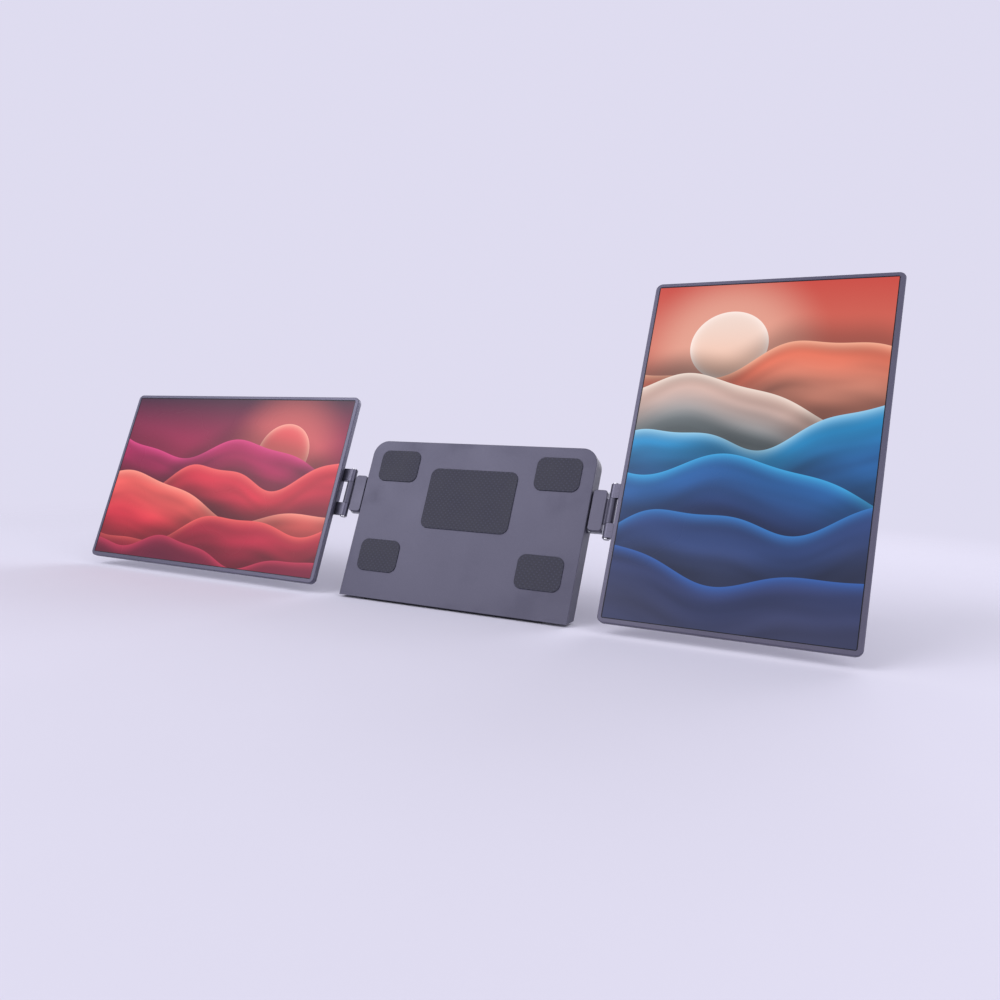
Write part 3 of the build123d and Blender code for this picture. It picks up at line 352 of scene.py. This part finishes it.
def makeFinish(name, look, middle=(0.0, 0.0, 0.0)):
    material, tree, shader, place = newMaterial(name)
    shader.inputs["Metallic"].default_value = look["metallic"]
    sizes = {"Grain Size": look["grainSize"], "Patch Size": look["patchSize"]}
    grain = useGroup(tree, fineGrain, (-1100, 200), sizes)
    marks = useGroup(tree, handMarks, (-1100, -200), {"Smear Size": handLook["smearSize"]})
    for effect in (grain, marks):
        tree.links.new(place, effect.inputs["Vector"])
    tree.links.new(tree.nodes["Texture Coordinate"].outputs["Normal"], marks.inputs["Facing"])

    tone = spread(tree, grain.outputs["Patch"], (-850, 300), noiseSpan, (0.0, 1.0))
    colour = blendColours(tree, tone, (-700, 300), look["colour"], look["second"])
    speckle = spread(tree, grain.outputs["Grain"], (-850, 500), noiseSpan, around(look["speckle"]))
    colour = brighten(tree, (-550, 300), colour, speckle)
    rough = spread(tree, grain.outputs["Patch"], (-700, 0), noiseSpan, look["roughness"])
    height = grain.outputs["Grain"]

    if "lineSize" in look:
        lines = useGroup(tree, brushed, (-1100, -500), {"Line Size": look["lineSize"]})
        tree.links.new(place, lines.inputs["Vector"])
        shade = spread(tree, lines.outputs["Streak"], (-850, -500), noiseSpan, around(look["streak"]))
        colour = brighten(tree, (-400, 300), colour, shade)
        rough = maths(tree, "MULTIPLY", (-550, 0), rough, shade)
        height = maths(tree, "ADD", (-700, -300), height, lines.outputs["Streak"])

    if "beadPitch" in look:
        lattice = useGroup(tree, beads, (-1000, -900), {"Pitch": look["beadPitch"]})
        tree.links.new(flatPattern(tree, place, middle, 1.0), lattice.inputs["Vector"])
        bead = lattice.outputs["Bead"]
        # Painted light: the colour is lightened on the bead crowns and darkened between the beads, as
        # lamps would light the bumps.
        shade = spread(tree, bead, (-600, 500), (0.0, 1.0), look["beadPaintedLightAndShade"])
        colour = brighten(tree, (-400, 300), colour, shade)
        height = maths(tree, "MULTIPLY_ADD", (-700, -700), bead, look["beadHeight"])
        feed(tree, height.node.inputs[2], grain.outputs["Grain"])

    if "ringSize" in look:
        lathe = useGroup(tree, rings, (-1000, -900), {"Ring Size": look["ringSize"]})
        tree.links.new(flatPattern(tree, place, middle, 1.0), lathe.inputs["Vector"])
        shade = spread(tree, lathe.outputs["Ring"], (-850, -900), noiseSpan, around(look["ringShade"]))
        colour = brighten(tree, (-400, 300), colour, shade)
        rough = maths(tree, "MULTIPLY", (-550, 0), rough, shade)
        height = maths(tree, "ADD", (-700, -300), height, lathe.outputs["Ring"])

    dust = maths(tree, "MULTIPLY", (-400, 100), marks.outputs["Dust"], look["dust"])
    tree.links.new(blendColours(tree, dust, (-200, 300), colour, dustColour), shader.inputs["Base Color"])
    smear = maths(tree, "MULTIPLY", (-550, -200), marks.outputs["Smear"], look["smear"])
    tree.links.new(maths(tree, "ADD", (-300, 0), rough, smear), shader.inputs["Roughness"])
    bump = addNode(tree, "ShaderNodeBump", (-300, -400))
    setInputs(bump, {"Strength": 1.0, "Distance": look["bump"]})
    tree.links.new(height, bump.inputs["Height"])
    tree.links.new(bump.outputs["Normal"], shader.inputs["Normal"])
    return material


def middleOf(node):
    low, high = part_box(node)
    return (low + high) / 2


materials = {name: makeFinish(name, look) for name, look in finishes.items()}
for side in ("left", "right"):
    name = side + "CapFinish"
    materials[name] = makeFinish(name, capLook, middleOf(side + "_swivel_cap"))
print("finishes made:", len(materials))


# Green board with copper runs

boardLook = {
    "mask": (0.012, 0.085, 0.045), "copper": (0.03, 0.17, 0.09), "runPitch": 0.0022, "runGap": 0.03,
    "runSoftness": 0.2, "breakScale": 260.0, "breakEdge": (0.4, 0.6), "roughness": (0.25, 0.4),
}


def makeBoardMaterial():
    material, tree, shader, place = newMaterial("driverBoard")
    cells = addNode(tree, "ShaderNodeTexBrick", (-1000, 200))
    rowsInUnit = 4  # rows of bricks in one unit of the pattern
    setInputs(cells, {
        "Scale": 1.0 / boardLook["runPitch"] / rowsInUnit,
        "Mortar Size": boardLook["runGap"], "Mortar Smooth": boardLook["runSoftness"],
    })
    tree.links.new(place, cells.inputs["Vector"])
    speck = noise(tree, place, boardLook["breakScale"], (-1000, -200), detail=4.0)
    broken = spread(tree, speck, (-800, -200), boardLook["breakEdge"], (0.0, 1.0))
    runs = maths(tree, "MULTIPLY", (-700, 0), cells.outputs["Fac"], broken)
    colour = blendColours(tree, runs, (-400, 200), boardLook["mask"], boardLook["copper"])
    tree.links.new(colour, shader.inputs["Base Color"])
    rough = spread(tree, speck, (-400, -100), noiseSpan, boardLook["roughness"])
    tree.links.new(rough, shader.inputs["Roughness"])
    return material


materials["driverBoard"] = makeBoardMaterial()


# The pictures on the screens: a low sun over layered hills, lit from within

# Lengths in radii of the disc.
discLook = {"edge": 0.01, "shading": (-0.8, 0.9), "rimPower": 9.0, "glow": 0.5, "glowReach": 2.6}


def buildPaperDisc():
    # A disc laid over the colour under it, with a bright rim and a soft glow around it.
    group, entry, leave = newGroup(
        "paperDisc",
        {"Vector": "Vector", "Centre": "Vector", "Radius": "Float", "Lower": "Color", "Upper": "Color",
         "Rim": "Color", "Under": "Color"},
        {"Colour": "Color"},
    )
    offset = addNode(group, "ShaderNodeVectorMath", (-800, 100), operation="SUBTRACT")
    group.links.new(entry.outputs["Vector"], offset.inputs[0])
    group.links.new(entry.outputs["Centre"], offset.inputs[1])
    length = addNode(group, "ShaderNodeVectorMath", (-600, 100), operation="LENGTH")
    group.links.new(offset.outputs["Vector"], length.inputs[0])
    reach = maths(group, "DIVIDE", (-400, 100), length.outputs["Value"], entry.outputs["Radius"])
    inside = spread(group, reach, (-200, 300), (1.0 - discLook["edge"], 1.0), (1.0, 0.0), smooth=True)
    parts = addNode(group, "ShaderNodeSeparateXYZ", (-600, -200))
    group.links.new(offset.outputs["Vector"], parts.inputs["Vector"])
    rise = maths(group, "DIVIDE", (-400, -200), parts.outputs["Y"], entry.outputs["Radius"])
    level = spread(group, rise, (-200, -200), discLook["shading"], (0.0, 1.0), smooth=True)
    fill = blendColours(group, level, (0, -100), entry.outputs["Lower"], entry.outputs["Upper"])
    rimShare = maths(group, "POWER", (0, -300), reach, discLook["rimPower"])
    fill = blendColours(group, rimShare, (200, -100), fill, entry.outputs["Rim"])
    glowSpan, glowShare = (1.0, discLook["glowReach"]), (discLook["glow"], 0.0)
    glow = spread(group, reach, (-200, 500), glowSpan, glowShare, smooth=True)
    outside = blendColours(group, glow, (200, 400), entry.outputs["Under"], entry.outputs["Lower"])
    group.links.new(blendColours(group, inside, (550, 100), outside, fill), leave.inputs["Colour"])
    return group


# Lengths in units of the pictures.
hillLook = {
    "ripples": 2.3, "rippleShare": 0.28, "edge": 0.002, "rimReach": 0.16, "rimPower": 3.0,
    "foldsAlong": 0.55, "foldsDown": 3.2, "foldScale": 1.6, "foldShade": (0.72, 1.22),
    "shadowReach": 0.30, "shadow": 0.55,
}


def buildPaperHill():
    # A layer with a wavy crest: lit along the crest, darker below, and a shadow on the layer behind it.
    group, entry, leave = newGroup(
        "paperHill",
        {"Vector": "Vector", "Level": "Float", "Slope": "Float", "Swell": "Float", "Length": "Float",
         "Shift": "Float", "Depth": "Float", "Crest": "Color", "Foot": "Color", "Rim": "Color",
         "Under": "Color"},
        {"Colour": "Color"},
    )
    parts = addNode(group, "ShaderNodeSeparateXYZ", (-1200, 0))
    group.links.new(entry.outputs["Vector"], parts.inputs["Vector"])
    turns = maths(group, "DIVIDE", (-1000, 200), parts.outputs["X"], entry.outputs["Length"])
    angle = maths(group, "MULTIPLY_ADD", (-850, 200), turns, 2 * math.pi)
    feed(group, angle.node.inputs[2], entry.outputs["Shift"])
    faster = maths(group, "MULTIPLY", (-1000, 350), angle, hillLook["ripples"])
    ripple = maths(group, "SINE", (-850, 350), faster)
    swell = maths(group, "SINE", (-700, 200), angle)
    wave = maths(group, "MULTIPLY_ADD", (-550, 250), ripple, hillLook["rippleShare"])
    feed(group, wave.node.inputs[2], swell)
    crest = maths(group, "MULTIPLY_ADD", (-400, 200), wave, entry.outputs["Swell"])
    feed(group, crest.node.inputs[2], entry.outputs["Level"])
    tilted = maths(group, "MULTIPLY_ADD", (-250, 200), parts.outputs["X"], entry.outputs["Slope"])
    feed(group, tilted.node.inputs[2], crest)
    below = maths(group, "SUBTRACT", (-100, 100), tilted, parts.outputs["Y"])
    edgeSpan = (-hillLook["edge"], hillLook["edge"])
    inside = spread(group, below, (100, 400), edgeSpan, (0.0, 1.0), smooth=True)
    share = maths(group, "DIVIDE", (50, 0), below, entry.outputs["Depth"])
    level = spread(group, share, (200, 0), (0.0, 1.0), (0.0, 1.0), smooth=True)
    fill = blendColours(group, level, (350, 0), entry.outputs["Crest"], entry.outputs["Foot"])
    folds = addNode(group, "ShaderNodeCombineXYZ", (0, -300))
    along = maths(group, "MULTIPLY", (-200, -300), parts.outputs["X"], hillLook["foldsAlong"])
    down = maths(group, "MULTIPLY", (-200, -450), below, hillLook["foldsDown"])
    group.links.new(along, folds.inputs["X"])
    group.links.new(down, folds.inputs["Y"])
    group.links.new(entry.outputs["Shift"], folds.inputs["Z"])
    soft = noise(group, folds.outputs["Vector"], hillLook["foldScale"], (150, -300), detail=1.0)
    foldShade = spread(group, soft, (300, -300), noiseSpan, hillLook["foldShade"])
    shade = addNode(group, "ShaderNodeVectorMath", (500, -100), operation="SCALE")
    group.links.new(fill, shade.inputs[0])
    group.links.new(foldShade, shade.inputs["Scale"])
    nearCrest = spread(group, below, (150, -500), (0.0, hillLook["rimReach"]), (1.0, 0.0))
    rimShare = maths(group, "POWER", (350, -500), nearCrest, hillLook["rimPower"])
    fill = blendColours(group, rimShare, (650, -100), shade.outputs["Vector"], entry.outputs["Rim"])
    shadowSpan, shadowShade = (-hillLook["shadowReach"], 0.0), (1.0, hillLook["shadow"])
    shadow = spread(group, below, (100, 600), shadowSpan, shadowShade, smooth=True)
    behind = addNode(group, "ShaderNodeVectorMath", (500, 400), operation="SCALE")
    group.links.new(entry.outputs["Under"], behind.inputs[0])
    group.links.new(shadow, behind.inputs["Scale"])
    colour = blendColours(group, inside, (700, 200), behind.outputs["Vector"], fill)
    group.links.new(colour, leave.inputs["Colour"])
    return group


def buildScreenEdge():
    # 1 on the lit area and 0 on the black border around it.
    group, entry, leave = newGroup(
        "screenEdge",
        {"Vector": "Vector", "Half Width": "Float", "Half Height": "Float"},
        {"Lit": "Float"},
    )
    size = addNode(group, "ShaderNodeVectorMath", (-700, 0), operation="ABSOLUTE")
    group.links.new(entry.outputs["Vector"], size.inputs[0])
    parts = addNode(group, "ShaderNodeSeparateXYZ", (-500, 0))
    group.links.new(size.outputs["Vector"], parts.inputs["Vector"])
    wide = maths(group, "LESS_THAN", (-200, 100), parts.outputs["X"], entry.outputs["Half Width"])
    tall = maths(group, "LESS_THAN", (-200, -100), parts.outputs["Y"], entry.outputs["Half Height"])
    group.links.new(maths(group, "MULTIPLY", (100, 0), wide, tall), leave.inputs["Lit"])
    return group


paperDisc = buildPaperDisc()
paperHill = buildPaperHill()
screenEdge = buildScreenEdge()

screenUnit = 0.1  # metres in a unit of the pictures
litArea = (0.3231, 0.2019)  # metres, in landscape
glassLook = {"base": (0.012, 0.012, 0.014), "gloss": 0.2, "hazeScale": 7.0, "roughness": (0.24, 0.30)}


def halfInUnits(size):
    return tuple(length / 2 / screenUnit for length in size)


# Places and sizes in units of the pictures, from the middle of a lit area. Hills from back to front.
screens = {
    "left": {
        "half": halfInUnits(litArea), "skyTop": (0.055, 0.008, 0.035), "skyFoot": (0.56, 0.012, 0.10),
        "sun": {"centre": (0.82, 0.36), "radius": 0.36,
                "lower": (0.90, 0.19, 0.16), "upper": (0.78, 0.085, 0.10), "rim": (0.97, 0.42, 0.34)},
        "hills": [
            {"level": 0.36, "slope": -0.06, "swell": 0.15, "length": 2.5, "shift": 0.6, "depth": 0.55,
             "crest": (0.42, 0.008, 0.10), "foot": (0.27, 0.006, 0.045), "rim": (0.70, 0.05, 0.22)},
            {"level": 0.04, "slope": 0.09, "swell": 0.16, "length": 2.1, "shift": 2.3, "depth": 0.6,
             "crest": (0.66, 0.026, 0.055), "foot": (0.34, 0.007, 0.035), "rim": (0.88, 0.13, 0.13)},
            {"level": -0.26, "slope": -0.11, "swell": 0.15, "length": 2.9, "shift": 4.0, "depth": 0.6,
             "crest": (0.82, 0.115, 0.100), "foot": (0.62, 0.024, 0.048), "rim": (0.97, 0.31, 0.24)},
            {"level": -0.58, "slope": 0.12, "swell": 0.13, "length": 2.3, "shift": 1.0, "depth": 0.5,
             "crest": (0.52, 0.014, 0.048), "foot": (0.26, 0.006, 0.030), "rim": (0.84, 0.10, 0.10)},
            {"level": -0.86, "slope": -0.05, "swell": 0.10, "length": 1.9, "shift": 3.0, "depth": 0.4,
             "crest": (0.20, 0.007, 0.036), "foot": (0.095, 0.005, 0.026), "rim": (0.50, 0.03, 0.08)},
        ],
    },
    "right": {
        "half": halfInUnits(litArea[::-1]), "skyTop": (0.58, 0.060, 0.040), "skyFoot": (0.70, 0.26, 0.17),
        "sun": {"centre": (-0.30, 1.00), "radius": 0.34,
                "lower": (0.90, 0.55, 0.42), "upper": (0.86, 0.66, 0.58), "rim": (0.98, 0.84, 0.78)},
        "hills": [
            {"level": 0.86, "slope": 0.12, "swell": 0.13, "length": 1.9, "shift": 0.2, "depth": 0.5,
             "crest": (0.66, 0.13, 0.070), "foot": (0.60, 0.22, 0.15), "rim": (0.90, 0.42, 0.28)},
            {"level": 0.50, "slope": -0.14, "swell": 0.14, "length": 2.2, "shift": 2.6, "depth": 0.5,
             "crest": (0.62, 0.40, 0.34), "foot": (0.20, 0.24, 0.26), "rim": (0.86, 0.72, 0.64)},
            {"level": 0.16, "slope": 0.15, "swell": 0.14, "length": 1.8, "shift": 4.4, "depth": 0.5,
             "crest": (0.010, 0.25, 0.54), "foot": (0.014, 0.11, 0.33), "rim": (0.30, 0.60, 0.82)},
            {"level": -0.22, "slope": -0.11, "swell": 0.15, "length": 2.4, "shift": 1.4, "depth": 0.55,
             "crest": (0.014, 0.115, 0.36), "foot": (0.018, 0.045, 0.17), "rim": (0.04, 0.36, 0.72)},
            {"level": -0.64, "slope": 0.13, "swell": 0.13, "length": 2.0, "shift": 3.3, "depth": 0.6,
             "crest": (0.022, 0.056, 0.20), "foot": (0.028, 0.042, 0.115), "rim": (0.03, 0.18, 0.52)},
            {"level": -1.10, "slope": -0.09, "swell": 0.12, "length": 2.3, "shift": 5.2, "depth": 0.5,
             "crest": (0.026, 0.042, 0.140), "foot": (0.032, 0.038, 0.095), "rim": (0.03, 0.11, 0.40)},
        ],
    },
}


def layDisc(tree, flat, disc, under):
    step = useGroup(tree, paperDisc, (-400, 300), {
        "Centre": (*disc["centre"], 0.0), "Radius": disc["radius"],
        "Lower": (*disc["lower"], 1.0), "Upper": (*disc["upper"], 1.0), "Rim": (*disc["rim"], 1.0),
    })
    tree.links.new(flat, step.inputs["Vector"])
    tree.links.new(under, step.inputs["Under"])
    return step.outputs["Colour"]


def layHill(tree, place, flat, hill, under):
    measures = ("level", "slope", "swell", "length", "shift", "depth")
    shape = {key.capitalize(): hill[key] for key in measures}
    colours = {key.capitalize(): (*hill[key], 1.0) for key in ("crest", "foot", "rim")}
    step = useGroup(tree, paperHill, place, {**shape, **colours})
    tree.links.new(flat, step.inputs["Vector"])
    tree.links.new(under, step.inputs["Under"])
    return step.outputs["Colour"]


def makeScreenMaterial(side, screen):
    material, tree, shader, place = newMaterial(side + "Screen")
    flat = flatPattern(tree, place, middleOf(side + "_display_panel"), screenUnit)
    sheet = addNode(tree, "ShaderNodeVectorMath", (-1000, -200), operation="MULTIPLY")
    sheet.inputs[1].default_value = (1.0, 1.0, 0.0)
    tree.links.new(flat, sheet.inputs[0])
    onSheet = sheet.outputs["Vector"]
    parts = addNode(tree, "ShaderNodeSeparateXYZ", (-1000, 200))
    tree.links.new(onSheet, parts.inputs["Vector"])
    rise = spread(tree, parts.outputs["Y"], (-800, 200), (0.0, screen["half"][1]), (0.0, 1.0))
    sky = blendColours(tree, rise, (-600, 200), screen["skyFoot"], screen["skyTop"])
    colour = layDisc(tree, onSheet, screen["sun"], sky)
    for index, hill in enumerate(screen["hills"]):
        colour = layHill(tree, (-200 + 180 * index, 300), onSheet, hill, colour)
    half = {"Half Width": screen["half"][0], "Half Height": screen["half"][1]}
    edge = useGroup(tree, screenEdge, (-400, -300), half)
    tree.links.new(onSheet, edge.inputs["Vector"])
    colour = blendColours(tree, edge.outputs["Lit"], (1000, 0), (0.0, 0.0, 0.0), colour)
    tree.links.new(colour, shader.inputs["Emission Color"])
    shader.inputs["Emission Strength"].default_value = 1.0
    shader.inputs["Base Color"].default_value = (*glassLook["base"], 1.0)
    shader.inputs["Specular IOR Level"].default_value = glassLook["gloss"]
    haze = noise(tree, place, glassLook["hazeScale"], (600, -300), detail=3.0)
    rough = spread(tree, haze, (800, -300), noiseSpan, glassLook["roughness"])
    tree.links.new(rough, shader.inputs["Roughness"])
    return material


for side, screen in screens.items():
    materials[side + "Screen"] = makeScreenMaterial(side, screen)
print("screen pictures made")


# Which finish each CAD node gets

stand = {
    "rear_cover": "housingShell", "front_plate": "plateMetal", "grip_pads": "padSilicone",
    "magnets": "magnetPlating", "cover_screws": "blackScrews", "slide_runners": "runnerPlastic",
    "base_foot": "footRubber", "pinion_axle": "turnedSteel", "sync_pinion": "gearPlastic",
    "kickstand_pin": "turnedSteel", "kickstand_leg": "kickstandMetal", "kickstand_foot": "footRubber",
}
eachSide = {
    "slide_bar": "slideMetal", "slide_rack": "gearPlastic", "slide_screws": "turnedSteel",
    "hinge_block": "hingeMetal", "hinge_pin": "turnedSteel", "swivel_arm": "armMetal",
    "swivel_washer": "runnerPlastic", "front_frame": "monitorMetal", "backlight_unit": "backlightFilm",
    "back_cover": "monitorMetal", "driver_board": "driverBoard", "ports": "portMetal",
    "button_switches": "speakerPlastic", "speaker": "speakerPlastic", "swivel_hub": "turnedSteel",
    "hub_screws": "turnedSteel", "power_button": "keyPlastic", "menu_button": "keyPlastic",
}


def giveFinish(node, finish):
    data = nodes[node].data
    data.materials.clear()
    data.materials.append(materials[finish])


for node, finish in stand.items():
    giveFinish(node, finish)
for side in ("left", "right"):
    for node, finish in eachSide.items():
        giveFinish(side + "_" + node, finish)
    giveFinish(side + "_swivel_cap", side + "CapFinish")
    giveFinish(side + "_display_panel", side + "Screen")
print("nodes finished")


# Floor, light and camera

floorLook = {
    "size": 6.0, "drop": 0.0003, "colour": (0.680, 0.660, 0.805), "paler": 1.02, "patchScale": 3.0,
    "fade": (0.62, 1.30), "roughness": 0.9,
}
studioLight = {"strength": 0.66, "sky": (0.735, 0.715, 0.870)}


def makeFloorMaterial():
    material, tree, shader, place = newMaterial("paleFloor")
    speck = noise(tree, place, floorLook["patchScale"], (-800, 200), detail=3.0)
    tint = spread(tree, speck, (-600, 200), noiseSpan, (0.0, 1.0))
    paler = tuple(value * floorLook["paler"] for value in floorLook["colour"])
    colour = blendColours(tree, tint, (-400, 200), floorLook["colour"], paler)
    tree.links.new(colour, shader.inputs["Base Color"])
    shader.inputs["Roughness"].default_value = floorLook["roughness"]
    shader.inputs["Specular IOR Level"].default_value = 0.0
    away = addNode(tree, "ShaderNodeVectorMath", (-800, -200), operation="LENGTH")
    tree.links.new(place, away.inputs[0])
    fade = spread(tree, away.outputs["Value"], (-500, -200), floorLook["fade"], (1.0, 0.0), smooth=True)
    tree.links.new(fade, shader.inputs["Alpha"])
    return material


def addFloor():
    bpy.ops.object.select_all(action="DESELECT")
    bpy.ops.mesh.primitive_plane_add(size=floorLook["size"], location=(0, 0, -floorLook["drop"]))
    floor = bpy.context.object
    floor.name = "floor"
    floor.data.materials.append(makeFloorMaterial())


def setWorld():
    world = bpy.data.worlds.new("studio")
    world.use_nodes = True
    bpy.context.scene.world = world
    tree = world.node_tree
    tree.nodes.clear()
    light = addNode(tree, "ShaderNodeBackground", (-300, 200))
    setInputs(light, {"Color": (1.0, 1.0, 1.0, 1.0), "Strength": studioLight["strength"]})
    seen = addNode(tree, "ShaderNodeBackground", (-300, -200))
    setInputs(seen, {"Color": (*studioLight["sky"], 1.0), "Strength": 1.0})
    rays = addNode(tree, "ShaderNodeLightPath", (-700, 0)).outputs
    direct = maths(tree, "MAXIMUM", (-500, 100), rays["Is Camera Ray"], rays["Is Glossy Ray"])
    direct = maths(tree, "MAXIMUM", (-350, 0), direct, rays["Is Transmission Ray"])
    mix = addNode(tree, "ShaderNodeMixShader", (0, 0))
    tree.links.new(direct, mix.inputs[0])
    tree.links.new(light.outputs[0], mix.inputs[1])
    tree.links.new(seen.outputs[0], mix.inputs[2])
    out = addNode(tree, "ShaderNodeOutputWorld", (200, 0))
    tree.links.new(mix.outputs[0], out.inputs["Surface"])


lampAim = (0.0, 0.05, 0.12)  # near the middle of the centre unit
lamps = {
    "keyLamp": {"place": (-1.3, -1.5, 1.9), "size": 1.6, "power": 26.0},
    "fillLamp": {"place": (1.8, -1.0, 1.3), "size": 1.8, "power": 12.0},
    "backLamp": {"place": (0.7, 2.1, 0.95), "size": 1.6, "power": 24.0},
}


def addLamp(name, lamp):
    data = bpy.data.lights.new(name, "AREA")
    data.size = lamp["size"]
    data.energy = lamp["power"]
    holder = bpy.data.objects.new(name, data)
    bpy.context.scene.collection.objects.link(holder)
    holder.visible_camera = False
    holder.location = lamp["place"]
    aim = Vector(lampAim) - holder.location
    holder.rotation_euler = aim.to_track_quat("-Z", "Y").to_euler()


cameraView = {
    "place": (0.3632, -0.7006, 0.1731),
    "right": (0.89074, 0.45362, 0.02840),
    "up": (-0.10229, 0.13920, 0.98497),
    "lens": 29.71, "sensor": 36.0, "shift": (0.0392, 0.0723),
}


def addCamera():
    data = bpy.data.cameras.new("camera")
    data.sensor_width = cameraView["sensor"]
    data.lens = cameraView["lens"]
    data.shift_x, data.shift_y = cameraView["shift"]
    holder = bpy.data.objects.new("camera", data)
    bpy.context.scene.collection.objects.link(holder)
    right, up = Vector(cameraView["right"]), Vector(cameraView["up"])
    turn = Matrix((right, up, right.cross(up))).transposed()
    holder.matrix_world = Matrix.Translation(cameraView["place"]) @ turn.to_4x4()
    bpy.context.scene.camera = holder


addFloor()
setWorld()
for name, lamp in lamps.items():
    addLamp(name, lamp)
addCamera()
bpy.context.scene.view_settings.view_transform = "Standard"
print("floor, lamps and camera set")
